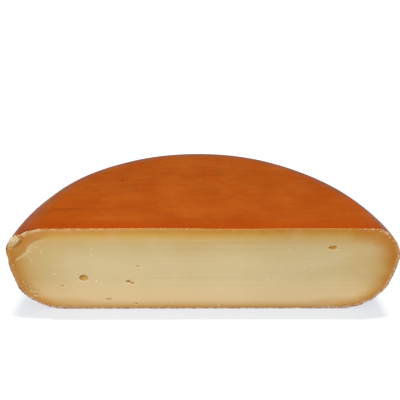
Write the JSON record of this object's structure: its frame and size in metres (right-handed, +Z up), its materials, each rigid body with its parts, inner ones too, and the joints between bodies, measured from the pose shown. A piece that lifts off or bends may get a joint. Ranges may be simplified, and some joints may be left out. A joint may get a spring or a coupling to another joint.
{
  "type": "half wheel of aged gouda cheese",
  "caption": "Half a wheel of hard aged cheese, with a flat cut face, a bulging side, rounded shoulders and a flat underside.",
  "frame": {"origin": "on the surface that the cheese stands on, under the middle of the box that it fills", "axes": "+Z up, +X to the right along the cut face, and +Y back from the cut face into the cheese"},
  "size_m": [0.3496, 0.1762, 0.093],
  "materials": {
    "cheese": "waxy"
  },
  "bodies": {
    "root": {"half_wheel": "cheese"}
  },
  "joints": []
}
